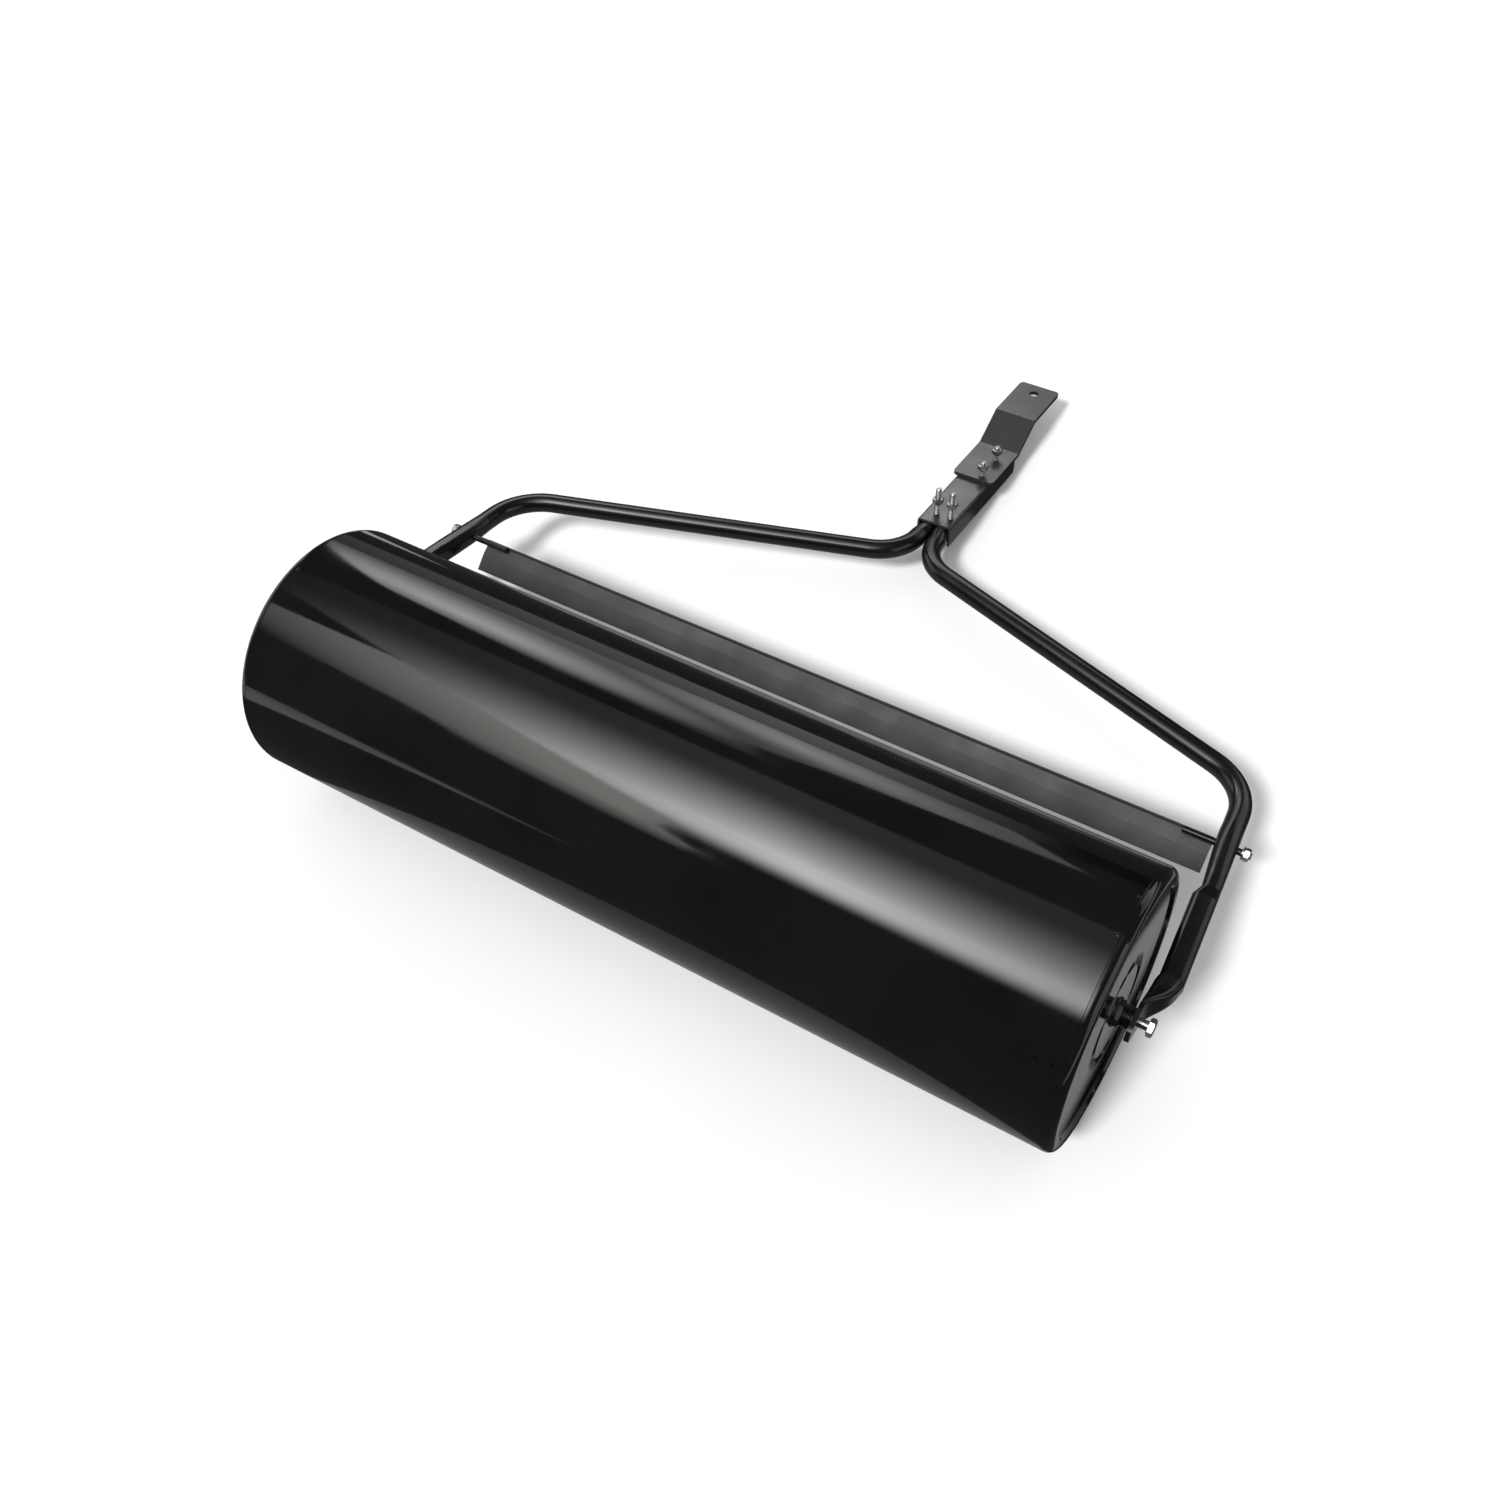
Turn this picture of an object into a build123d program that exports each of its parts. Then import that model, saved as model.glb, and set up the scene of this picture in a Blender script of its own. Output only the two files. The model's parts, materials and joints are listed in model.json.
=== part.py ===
"""Tow-behind lawn roller: water-filled steel drum on a tubular drawbar frame.

Row frame: X runs along the drum's axle, +Y forward to the hitch, +Z up, ground at Z = 0.
The origin lies on the ground under the middle of the overall box. The drum stands on the
ground and the free drawbar rests on the ground by the front end of its channel.

Frame parts are drawn in the drawbar frame: origin on the axle, X along the axle,
Y forward along the drawbar, Z square to it. `seat` then turns them onto the ground.
"""
import math
import os

from build123d import *

# ---- driving dimensions, mm -------------------------------------------------------
DRUM_R = 150.0            # outside radius of the drum
DRUM_HALF = 500.0         # axle centre plane to the flat face of an end cap
SHOULDER_R = 10.0         # rounded edge of an end cap
RIM_RISE = 2.5            # the cap's rim stands this far out from its face
SHEET = 2.0               # drum shell and end cap sheet
TUBE_R = 12.5             # round arm tube
TUBE_WALL = 2.0
PLATE_T = 5.0             # hitch plate
CHANNEL_T = 3.0           # drawbar channel
BAR_T = 2.0               # cross bar sheet
M8_R = 4.0
M10_R = 5.0
FIT = 0.05                # radial running clearance, also thread clearance
GAP = 0.15                # clearance between parts that only rest on each other
HOLE = 0.35               # radial clearance of a bolt hole

# ---- drum -------------------------------------------------------------------------
SEAM_X = DRUM_HALF + RIM_RISE - SHOULDER_R - 1.0         # shell to cap joint
LAP = 18.0                                    # cap skirt inside the shell
RIM_INNER_R = 131.0                           # foot of the raised rim on the cap face
RING_R = 56.0                                 # pressed ring in the cap face
RING_HALF_W = 7.0
RING_DEPTH = 3.0

# ---- hub and axle bolt ------------------------------------------------------------
BOSS_AF = 24.0
BOSS_T = 6.0
SLEEVE_R = 10.0
SLEEVE_LEN = 45.0
WASHER_R = 11.8
WASHER_T = 2.0
WASHER_PITCH = 2.25
WASHER_COUNT = 5
BOLT_HEAD_T = 6.5
BOLT_HEAD_AF = 17.0
BOLT_HEAD_X = 532.5                           # inner face of the axle bolt's head
BOLT_LEN = 70.0
LUG_X = 520.0                                 # centre plane of the flattened lug
LUG_T = 5.0

# ---- filler, drawn on the right cap and mirrored to the left one -------------------
FILLER_R = 117.0                              # distance of the filler from the axle
FILLER_ANGLE = 62.0                           # degrees above +Y at rest
PLUG_THREAD_R = 9.0
PLUG_THREAD_LEN = 11.0
PLUG_HEAD_AF = 17.0
PLUG_HEAD_T = 6.5
PLUG_FLANGE_R = 12.5
PLUG_FLANGE_T = 2.0
GASKET_T = 1.5
BUSH_R = 14.0
BUSH_LEN = 14.0

# ---- channel and hitch plate, drawbar frame ---------------------------------------
WEB_TOP = 7.6
CHANNEL_HALF = 23.9
FLANGE_H = 29.5
CHANNEL_START = 598.0
CHANNEL_END = 800.0
PLATE_HALF = 29.5
PLATE_START = 711.7
BEND_1 = 795.2
BEND_2 = 840.8
TIP = 925.5
TIP_RISE = 28.7                               # height of the tip over the seated end
TIP_HOLE = 903.7
TIP_HOLE_R = 6.5
TIP_CORNER_R = 6.0
FOLD_R = 1.0                                  # inside radius of a fold in the plate
CREST_R = 3.0                                 # outside radius of a fold
HITCH_BOLT_X = 8.5
HITCH_BOLTS = (724.0, 768.0)
HITCH_STUD_TOP = 20.0                         # stud height over the plate
HITCH_NUT_BASE = 9.5

# ---- arm tubes, drawbar frame -----------------------------------------------------
TAIL_W = 20.2                                 # squeezed tube tail inside the channel
TAIL_H = 25.4
TUBE_Z = WEB_TOP - CHANNEL_T - GAP - TAIL_H / 2
TAIL_X = TAIL_W / 2 + GAP
TAIL_START = 583.0                            # end of the round tube
TAIL_END = 700.0
INNER_CORNER = (13.0, 537.6)                  # where the diagonal meets the tail
OUTER_CORNER = (509.0, 368.0)                 # where the diagonal meets the side run
ELBOW = (532.5, 64.0)                         # end of the side run, before the lug
INNER_BEND_R = 62.0
OUTER_BEND_R = 75.0
ROUND_END = 300.0                             # the side run is round down to here
LUG_W = 34.0
LUG_ROOT = 11.0                               # where the flat lug starts
LUG_WIDEST = 7.0                              # the lug narrows from here to its tip
LUG_TIP_R = 11.0
LUG_TIP = -25.0
TUBE_BOLT_Y = 620.0
TUBE_BOLT_SHIFT = 3.0
TUBE_STUD_TOP = 38.5                          # stud height over the channel
TUBE_NUT_BASE = 17.0

# ---- cross bar, drawbar frame -----------------------------------------------------
STUD_Y = 269.0
STUD_END = {"left": 541.0, "right": 544.8}
STUD_OVERLAP = 34.0                           # welded length of a stud on the bar
BAR_LEFT = -485.0
BAR_RIGHT = 502.0
BAR_PROFILE = ((274.15, -8.2), (274.15, -12.0), (260.5, -22.5), (246.0, -38.0))
BAR_NUT_X = {"left": 532.2, "right": 536.2}   # the right nut is not run down

M8_NUT_AF = 13.0
M8_NUT_T = 6.5
M8_HEAD_T = 5.3
M8_WASHER_R = 7.5
M8_WASHER_T = 1.6

# ---- where the frame sits ---------------------------------------------------------
FOOT = (CHANNEL_END, WEB_TOP - FLANGE_H)      # channel corner that rests on the ground
PITCH = -math.asin(DRUM_R / math.hypot(*FOOT)) - math.atan2(FOOT[1], FOOT[0])
TIP_TOP = WEB_TOP + PLATE_T + TIP_RISE
REACH = TIP * math.cos(PITCH) - TIP_TOP * math.sin(PITCH)
AXLE_Y = (DRUM_R - REACH) / 2

ALONG_X = Rot(0, 90, 0)                       # turns a +Z cylinder to point along +X


def seat(shape):
    """Drawbar frame to row frame."""
    return Pos(0, AXLE_Y, DRUM_R) * Rot(math.degrees(PITCH), 0, 0) * shape


def on_axle(shape):
    """Drum frame (origin at the middle of the axle) to row frame."""
    return Pos(0, AXLE_Y, DRUM_R) * shape


def mirrored(shape):
    """The left-hand copy of a right-hand shape."""
    return mirror(shape, about=Plane.YZ)


def save(name, shape):
    export_step(shape, f"parts/{name}.step")


def rod(radius, length, chamfer_len=0.0):
    """Cylinder from Z = 0 upward, with its far end chamfered."""
    body = Cylinder(radius, length, align=(Align.CENTER, Align.CENTER, Align.MIN))
    if chamfer_len:
        body = chamfer(body.edges().sort_by(Axis.Z)[-1], chamfer_len)
    return body


def ring(outer_r, inner_r, thickness):
    """Flat washer from Z = 0 upward."""
    return rod(outer_r, thickness) - rod(inner_r, thickness)


def hexagon(across_flats, thickness):
    """Hexagonal prism from Z = 0 upward, corners turned down at both ends."""
    prism = extrude(RegularPolygon(across_flats / 2, 6, major_radius=False), thickness)
    corner_r = across_flats / math.sqrt(3)
    cone_r = corner_r - 0.04 * across_flats
    turned = Cylinder(corner_r, thickness, align=(Align.CENTER, Align.CENTER, Align.MIN))
    turned = chamfer(turned.edges().filter_by(GeomType.CIRCLE), (corner_r - cone_r) * 0.9)
    return prism & turned


def hex_nut(across_flats, thickness, bore_r):
    return hexagon(across_flats, thickness) - rod(bore_r, thickness)


def hex_bolt(across_flats, head_t, radius, length):
    """Bolt with its head below Z = 0 and its shank running up to Z = length."""
    head = Pos(0, 0, -head_t) * hexagon(across_flats, head_t)
    return head + rod(radius, length, radius * 0.2)


# ---- drum -------------------------------------------------------------------------
def drum_shell():
    tube = Cylinder(DRUM_R, 2 * SEAM_X) - Cylinder(DRUM_R - SHEET, 2 * SEAM_X)
    tube = fillet(tube.edges().filter_by(GeomType.CIRCLE).group_by(SortBy.RADIUS)[-1], 0.6)
    return ALONG_X * tube


def cap_profile():
    """Half section of the right cap in XY: X along the axle, Y away from it."""
    face, inner = DRUM_HALF, DRUM_HALF - SHEET
    crown = face + RIM_RISE
    rim = SEAM_X + GAP
    skirt_r = DRUM_R - SHEET - GAP
    hole_r = SLEEVE_R + GAP
    knee = crown - SHOULDER_R
    inner_r = SHOULDER_R - SHEET
    arc = math.sqrt(0.5)
    low, high = RING_R - RING_HALF_W, RING_R + RING_HALF_W
    slope = RING_DEPTH
    rim_back_r = RIM_INNER_R + SHEET * math.tan(math.pi / 8)
    outer = Polyline(
        (face, hole_r), (face, low), (face - RING_DEPTH, low + slope),
        (face - RING_DEPTH, high - slope), (face, high), (face, RIM_INNER_R),
        (crown, RIM_INNER_R + RIM_RISE), (crown, DRUM_R - SHOULDER_R))
    shoulder = ThreePointArc(
        (crown, DRUM_R - SHOULDER_R),
        (knee + SHOULDER_R * arc, DRUM_R - SHOULDER_R + SHOULDER_R * arc),
        (knee, DRUM_R))
    skirt = Polyline(
        (knee, DRUM_R), (rim, DRUM_R), (rim, skirt_r), (rim - LAP, skirt_r),
        (rim - LAP, skirt_r - SHEET), (knee, skirt_r - SHEET))
    inside_r = DRUM_R - SHOULDER_R
    knuckle = ThreePointArc(
        (knee, skirt_r - SHEET),
        (knee + inner_r * arc, inside_r - SHEET + (skirt_r - inside_r) * arc),
        (crown - SHEET, inside_r - SHEET))
    back = Polyline(
        (crown - SHEET, inside_r - SHEET), (crown - SHEET, rim_back_r + RIM_RISE),
        (inner, rim_back_r), (inner, high + 1), (inner - RING_DEPTH, high + 1 - slope),
        (inner - RING_DEPTH, low - 1 + slope), (inner, low - 1), (inner, hole_r),
        (face, hole_r))
    return make_face([*outer.edges(), *shoulder.edges(), *skirt.edges(),
                      *knuckle.edges(), *back.edges()])


def end_cap(filler_hole):
    cap = revolve(cap_profile(), Axis.X)
    if filler_hole:
        cap -= at_filler(Pos(0, 0, -20) * rod(BUSH_R + GAP, 40), DRUM_HALF)
    return cap


def hub_boss():
    """Threaded hub welded through the cap: hexagonal outside, round sleeve inside."""
    nut = Pos(0, 0, GAP) * hexagon(BOSS_AF, BOSS_T)
    sleeve = Pos(0, 0, GAP - SLEEVE_LEN) * rod(SLEEVE_R, SLEEVE_LEN)
    bore = Pos(0, 0, -SLEEVE_LEN - 1) * rod(M10_R + FIT, SLEEVE_LEN + BOSS_T + 4)
    return Pos(DRUM_HALF, 0, 0) * ALONG_X * (nut + sleeve - bore)


def spacer_washers():
    """Stack of loose washers between the hub and the lug."""
    start = DRUM_HALF + BOSS_T + 2 * GAP
    one = chamfer(ring(WASHER_R, M10_R + 0.4, WASHER_T).edges()
                  .filter_by(GeomType.CIRCLE).group_by(SortBy.RADIUS)[-1], 0.5)
    places = [start + i * WASHER_PITCH for i in range(WASHER_COUNT)]
    return Compound([Pos(x, 0, 0) * ALONG_X * one for x in places])


def axle_bolt():
    bolt = hex_bolt(BOLT_HEAD_AF, BOLT_HEAD_T, M10_R, BOLT_LEN)
    return Pos(BOLT_HEAD_X, 0, 0) * Rot(0, -90, 0) * bolt


def at_filler(shape, x):
    """Put a shape that points along +Z on the filler's axis, pointing along +X."""
    angle = math.radians(FILLER_ANGLE)
    y, z = FILLER_R * math.cos(angle), FILLER_R * math.sin(angle)
    return Pos(x, y, z) * ALONG_X * shape


def filler_bush():
    collar = rod(BUSH_R, BUSH_LEN) - rod(PLUG_THREAD_R + FIT, BUSH_LEN)
    return at_filler(collar, DRUM_HALF + 1.0 - BUSH_LEN)


def plug_gasket():
    return at_filler(ring(PLUG_FLANGE_R, PLUG_THREAD_R + 0.3, GASKET_T),
                     DRUM_HALF + 1.0 + GAP)


def filler_plug():
    flange = rod(PLUG_FLANGE_R, PLUG_FLANGE_T, 0.5)
    head = Pos(0, 0, PLUG_FLANGE_T) * hexagon(PLUG_HEAD_AF, PLUG_HEAD_T - PLUG_FLANGE_T)
    thread = Rot(180, 0, 0) * rod(PLUG_THREAD_R, PLUG_THREAD_LEN, 1.0)
    return at_filler(flange + head + thread, DRUM_HALF + 1.0 + 2 * GAP + GASKET_T)


# ---- arm tubes --------------------------------------------------------------------
def toward(start, end, distance):
    """Point at a distance from start on the line to end."""
    length = math.dist(start, end)
    return tuple(a + (b - a) * distance / length for a, b in zip(start, end))


def bend(before, corner, after, radius):
    """Ends and middle of the arc that rounds a corner of a flat path."""
    into, out = toward(corner, before, 1), toward(corner, after, 1)
    turn = math.pi - math.acos(sum((a - c) * (b - c) for a, b, c in zip(into, out, corner)))
    cut = radius * math.tan(turn / 2)
    half = tuple((a + b) / 2 for a, b in zip(into, out))
    centre = toward(corner, half, radius / math.cos(turn / 2))
    return (toward(corner, before, cut), toward(centre, corner, radius),
            toward(corner, after, cut))


def side_x(y):
    """Centre of the side run at a distance along the drawbar."""
    slope = (OUTER_CORNER[0] - ELBOW[0]) / (OUTER_CORNER[1] - ELBOW[1])
    return ELBOW[0] + slope * (y - ELBOW[1])


def tube_path():
    """Centre line of the round part of the right tube, from the side run to the tail."""
    start = (side_x(ROUND_END), ROUND_END)
    end = (INNER_CORNER[0], TAIL_START)
    outer = bend(start, OUTER_CORNER, INNER_CORNER, OUTER_BEND_R)
    inner = bend(OUTER_CORNER, INNER_CORNER, end, INNER_BEND_R)
    raised = [[(x, y, TUBE_Z) for x, y in arc] for arc in (outer, inner)]
    start, end = (*start, TUBE_Z), (*end, TUBE_Z)
    return Wire([
        Edge.make_line(start, raised[0][0]), Edge.make_three_point_arc(*raised[0]),
        Edge.make_line(raised[0][2], raised[1][0]), Edge.make_three_point_arc(*raised[1]),
        Edge.make_line(raised[1][2], end)])


def section(y, x, z, wide, high, corner):
    """Rounded rectangle square to the drawbar, facing +Y."""
    place = Plane(origin=(x, y, z), x_dir=(1, 0, 0), z_dir=(0, 1, 0))
    return place * RectangleRounded(wide, high, corner)


def tube_tail(round_end):
    """The tube's end, squeezed narrow so that two lie side by side in the channel."""
    squeezed = section(CHANNEL_START - 1.0, TAIL_X, TUBE_Z, TAIL_W, TAIL_H, 7.0)
    flat = extrude(squeezed, TAIL_END - CHANNEL_START + 1.0, dir=(0, 1, 0))
    bore = extrude(section(CHANNEL_START + 1.0, TAIL_X, TUBE_Z, TAIL_W - 2 * TUBE_WALL,
                           TAIL_H - 2 * TUBE_WALL, 5.0), TAIL_END, dir=(0, 1, 0))
    return loft([round_end, squeezed]) + flat - bore


def lower_arm(round_end):
    """The side run's crushed lower part: a dent, a wide shallow run, then the neck."""
    flatter = section(STUD_Y, side_x(STUD_Y), TUBE_Z, 25.0, 25.0, 9.5)
    dent_top = section(214.0, side_x(214.0) + 1.8, TUBE_Z, 21.5, 26.5, 7.0)
    dent_end = section(195.0, side_x(195.0) + 2.2, TUBE_Z, 20.5, 26.5, 6.5)
    run_top = section(183.0, side_x(183.0) - 0.6, TUBE_Z + 0.5, 26.5, 21.0, 6.5)
    elbow = section(ELBOW[1], ELBOW[0] - 0.5, TUBE_Z + 3.0, 26.0, 23.0, 6.5)
    arm = loft([round_end, flatter, dent_top, dent_end])
    arm += loft([dent_end, run_top])
    arm += loft([run_top, elbow])
    return arm + neck(elbow)


def neck(elbow):
    """The elbow pressed flat: its inner side runs straight into the lug's inner face."""
    inner_face = LUG_X - LUG_T / 2
    rows = ((54.0, 25.7, -4.3, 23.5, 6.5), (42.0, 22.5, -3.2, 25.5, 6.0),
            (30.0, 16.0, -1.8, 29.0, 5.0), (18.0, 8.2, -0.6, 33.0, 3.2))
    sections = [section(y, inner_face + wide / 2, z, wide, high, corner)
                for y, wide, z, high, corner in rows]
    root = section(LUG_ROOT, LUG_X, 0.0, LUG_T, LUG_W, LUG_T / 2 - 0.3)
    return loft([elbow, *sections, root])


def lug():
    """Flat end of the tube with the hole that runs on the axle bolt."""
    widest = Pos(LUG_WIDEST, 0) * Circle(LUG_W / 2)
    end = Pos(LUG_TIP + LUG_TIP_R, 0) * Circle(LUG_TIP_R)
    outline = make_hull([*widest.edges(), *end.edges()])
    outline += Pos((LUG_WIDEST + LUG_ROOT) / 2, 0) * Rectangle(LUG_ROOT - LUG_WIDEST, LUG_W)
    outline -= Pos(LUG_ROOT + LUG_W, 0) * Rectangle(2 * LUG_W, 2 * LUG_W)
    place = Plane(origin=(LUG_X - LUG_T / 2, 0, 0), x_dir=(0, 1, 0), z_dir=(1, 0, 0))
    return extrude(place * outline, LUG_T, dir=(1, 0, 0))


def arm_tube():
    path = tube_path()
    start = Plane(origin=path @ 0, z_dir=path % 0)
    end = Plane(origin=path @ 1, z_dir=path % 1)
    full = Circle(TUBE_R)
    pipe = sweep(start * (full - Circle(TUBE_R - TUBE_WALL)), path=path)
    arm = pipe + tube_tail(end * full) + lower_arm(start * full) + lug()
    arm -= Pos(LUG_X - 20, 0, 0) * ALONG_X * rod(M10_R + FIT, 40)
    arm -= Pos(LUG_X - 40, STUD_Y, TUBE_Z) * ALONG_X * rod(M8_R + HOLE, 60)
    return arm


def tube_hole(x):
    """Clearance hole for a drawbar bolt."""
    return Pos(x, TUBE_BOLT_Y, TUBE_Z - 30) * rod(M8_R + HOLE, 60)


# ---- channel, plate and their fasteners -------------------------------------------
def tube_bolt_places():
    return [(side * TAIL_X + TUBE_BOLT_SHIFT, TUBE_BOLT_Y) for side in (-1, 1)]


def hitch_bolt_places():
    return [(HITCH_BOLT_X, y) for y in HITCH_BOLTS]


def channel():
    place = Plane(origin=(0, CHANNEL_START, WEB_TOP - FLANGE_H), x_dir=(1, 0, 0),
                  z_dir=(0, 1, 0))
    length = CHANNEL_END - CHANNEL_START
    outer = RectangleRounded(2 * CHANNEL_HALF, 2 * FLANGE_H, 4.0)
    inner = RectangleRounded(2 * (CHANNEL_HALF - CHANNEL_T), 2 * (FLANGE_H - CHANNEL_T), 1.2)
    body = extrude(place * (outer - inner), length, dir=(0, 1, 0))
    below = Pos(0, CHANNEL_START + length / 2, WEB_TOP - 1.5 * FLANGE_H)
    body -= below * Box(3 * CHANNEL_HALF, length + 2, FLANGE_H)
    for x, y in tube_bolt_places() + hitch_bolt_places():
        body -= Pos(x, y, WEB_TOP - 10) * rod(M8_R + HOLE, 20)
    return body


def hitch_plate():
    """Flat bar stepped up towards the tractor, with the drawbar pin's hole at its tip."""
    low, high = WEB_TOP + GAP, WEB_TOP + GAP + TIP_RISE
    slope = math.atan2(TIP_RISE, BEND_2 - BEND_1)
    shift = PLATE_T * math.tan(slope / 2)
    profile = Polyline(
        (PLATE_START, low), (BEND_1 + shift, low), (BEND_2 + shift, high), (TIP, high),
        (TIP, high + PLATE_T), (BEND_2, high + PLATE_T), (BEND_1, low + PLATE_T),
        (PLATE_START, low + PLATE_T), close=True)
    place = Plane(origin=(-PLATE_HALF, 0, 0), x_dir=(0, 1, 0), z_dir=(1, 0, 0))
    bar = extrude(place * make_face(profile), 2 * PLATE_HALF, dir=(1, 0, 0))
    folds = bar.edges().filter_by(Axis.X)
    folds = folds.filter_by(lambda e: BEND_1 - 1 < e.center().Y < BEND_2 + shift + 1)
    first, last = folds.group_by(Axis.Y)[:2], folds.group_by(Axis.Y)[-2:]
    hollow = [first[0][0], last[1][0]]
    crest = [first[1][0], last[0][0]]
    bar = fillet(hollow, FOLD_R)
    crest = [bar.edges().sort_by_distance(e.center())[0] for e in crest]
    bar = fillet(crest, CREST_R)
    corners = bar.edges().filter_by(lambda e: abs(e.tangent_at(0.5).Z) > 0.99)
    tips = corners.filter_by(lambda e: e.center().Y > TIP - 1)
    tails = corners.filter_by(lambda e: e.center().Y < PLATE_START + 1)
    bar = fillet(tips + tails, TIP_CORNER_R)
    bar -= Pos(0, TIP_HOLE, high - 5) * rod(TIP_HOLE_R, 20)
    for x, y in hitch_bolt_places():
        bar -= Pos(x, y, low - 5) * rod(M8_R + HOLE, 20)
    return bar


def at_places(shape, places, z):
    """One copy of a shape on each place."""
    return Compound([Pos(x, y, z) * shape for x, y in places])


def save_channel_fasteners():
    """Bolts put in from below, with their nuts part of the way down the thread."""
    washer = ring(M8_WASHER_R, M8_R + 0.3, M8_WASHER_T)
    nut = hex_nut(M8_NUT_AF, M8_NUT_T, M8_R + FIT)

    below_tube = TUBE_Z - TAIL_H / 2 - GAP
    seat_z = below_tube - M8_WASHER_T - GAP
    bolt = hex_bolt(M8_NUT_AF, M8_HEAD_T, M8_R, WEB_TOP + TUBE_STUD_TOP - seat_z)
    places = tube_bolt_places()
    save("drawbar_bolts", seat(at_places(bolt, places, seat_z)))
    save("drawbar_washers", seat(at_places(washer, places, below_tube - M8_WASHER_T)))
    save("drawbar_nuts", seat(at_places(nut, places, WEB_TOP + TUBE_NUT_BASE)))

    below_web = WEB_TOP - CHANNEL_T - GAP
    plate_top = WEB_TOP + GAP + PLATE_T
    seat_z = below_web - M8_WASHER_T - GAP
    bolt = hex_bolt(M8_NUT_AF, M8_HEAD_T, M8_R, plate_top + HITCH_STUD_TOP - seat_z)
    places = hitch_bolt_places()
    save("hitch_bolts", seat(at_places(bolt, places, seat_z)))
    save("hitch_washers", seat(at_places(washer, places, below_web - M8_WASHER_T)))
    save("hitch_nuts", seat(at_places(nut, places, plate_top + HITCH_NUT_BASE)))


# ---- cross bar --------------------------------------------------------------------
def cross_bar():
    """Creased strip with an upright lip, hung under the studs."""
    place = Plane(origin=(BAR_LEFT, 0, 0), x_dir=(0, 1, 0), z_dir=(1, 0, 0))
    crease = Polyline(*BAR_PROFILE)
    strip = trace(crease, BAR_T)
    return extrude(place * strip, BAR_RIGHT - BAR_LEFT, dir=(1, 0, 0))


def bar_stud(inner_end, outer_end):
    """Threaded rod from its weld on the bar, out through the arm."""
    length = outer_end - inner_end
    return Pos(inner_end, STUD_Y, TUBE_Z) * ALONG_X * rod(M8_R, length, 1.0)


def save_bar_fasteners():
    nut = hex_nut(M8_NUT_AF, M8_NUT_T, M8_R + FIT)
    washer = ring(M8_WASHER_R, M8_R + 0.3, M8_WASHER_T)
    nuts, washers = {}, {}
    for side, x in BAR_NUT_X.items():
        outside = Pos(x, STUD_Y, TUBE_Z) * ALONG_X
        nuts[side] = outside * nut
        washers[side] = Pos(-M8_WASHER_T - GAP, 0, 0) * outside * washer
    save("bar_nuts", seat(Compound([nuts["right"], mirrored(nuts["left"])])))
    save("bar_washers", seat(Compound([washers["right"], mirrored(washers["left"])])))


def main():
    os.makedirs("parts", exist_ok=True)
    save("drum_shell", on_axle(drum_shell()))
    save("end_cap_right", on_axle(end_cap(filler_hole=False)))
    save("end_cap_left", on_axle(mirrored(end_cap(filler_hole=True))))
    save("filler_bush", on_axle(mirrored(filler_bush())))
    save("plug_gasket", on_axle(mirrored(plug_gasket())))
    save("filler_plug", on_axle(mirrored(filler_plug())))
    for name, shape in (("hub_boss", hub_boss()), ("spacer_washers", spacer_washers()),
                        ("axle_bolt", axle_bolt())):
        save(f"{name}_right", on_axle(shape))
        save(f"{name}_left", on_axle(mirrored(shape)))

    arm = arm_tube()
    right_bolt, left_bolt = TAIL_X + TUBE_BOLT_SHIFT, TAIL_X - TUBE_BOLT_SHIFT
    save("arm_tube_right", seat(arm - tube_hole(right_bolt)))
    save("arm_tube_left", seat(mirrored(arm - tube_hole(left_bolt))))
    save("drawbar_channel", seat(channel()))
    save("hitch_plate", seat(hitch_plate()))
    save_channel_fasteners()
    save("cross_bar", seat(cross_bar()))
    right_stud = bar_stud(BAR_RIGHT - STUD_OVERLAP, STUD_END["right"])
    left_stud = bar_stud(-BAR_LEFT - STUD_OVERLAP, STUD_END["left"])
    save("bar_stud_right", seat(right_stud))
    save("bar_stud_left", seat(mirrored(left_stud)))
    save_bar_fasteners()


main()
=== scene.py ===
import json
import math

import bmesh
import bpy
from mathutils import Matrix, Vector

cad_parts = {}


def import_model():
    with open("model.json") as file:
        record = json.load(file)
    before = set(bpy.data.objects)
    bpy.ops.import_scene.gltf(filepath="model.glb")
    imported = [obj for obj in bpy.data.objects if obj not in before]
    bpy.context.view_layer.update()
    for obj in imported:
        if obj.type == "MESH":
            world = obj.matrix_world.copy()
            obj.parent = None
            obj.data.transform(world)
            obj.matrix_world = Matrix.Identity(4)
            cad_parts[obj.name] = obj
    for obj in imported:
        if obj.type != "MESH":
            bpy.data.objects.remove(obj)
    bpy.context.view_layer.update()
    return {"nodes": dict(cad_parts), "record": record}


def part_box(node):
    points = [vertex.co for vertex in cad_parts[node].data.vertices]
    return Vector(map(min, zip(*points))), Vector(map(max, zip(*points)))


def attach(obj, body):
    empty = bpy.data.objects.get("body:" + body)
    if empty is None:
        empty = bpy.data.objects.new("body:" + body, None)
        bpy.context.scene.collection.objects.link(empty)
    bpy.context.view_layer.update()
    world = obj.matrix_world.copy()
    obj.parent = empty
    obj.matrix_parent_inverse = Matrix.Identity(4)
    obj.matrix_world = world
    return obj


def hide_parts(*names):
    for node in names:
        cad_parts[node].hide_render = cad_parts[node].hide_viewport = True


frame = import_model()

X = Vector((1, 0, 0))
SQUARE = Vector(frame["record"]["mounts"][0]["axis"])    # square to the drawbar, upward
ALONG = SQUARE.cross(X)                                  # along the drawbar, forward
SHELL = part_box("drum_shell")
AXLE = (SHELL[0] + SHELL[1]) / 2
DRUM_R = (SHELL[1].z - SHELL[0].z) / 2
SHELL_END = SHELL[1].x

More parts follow.
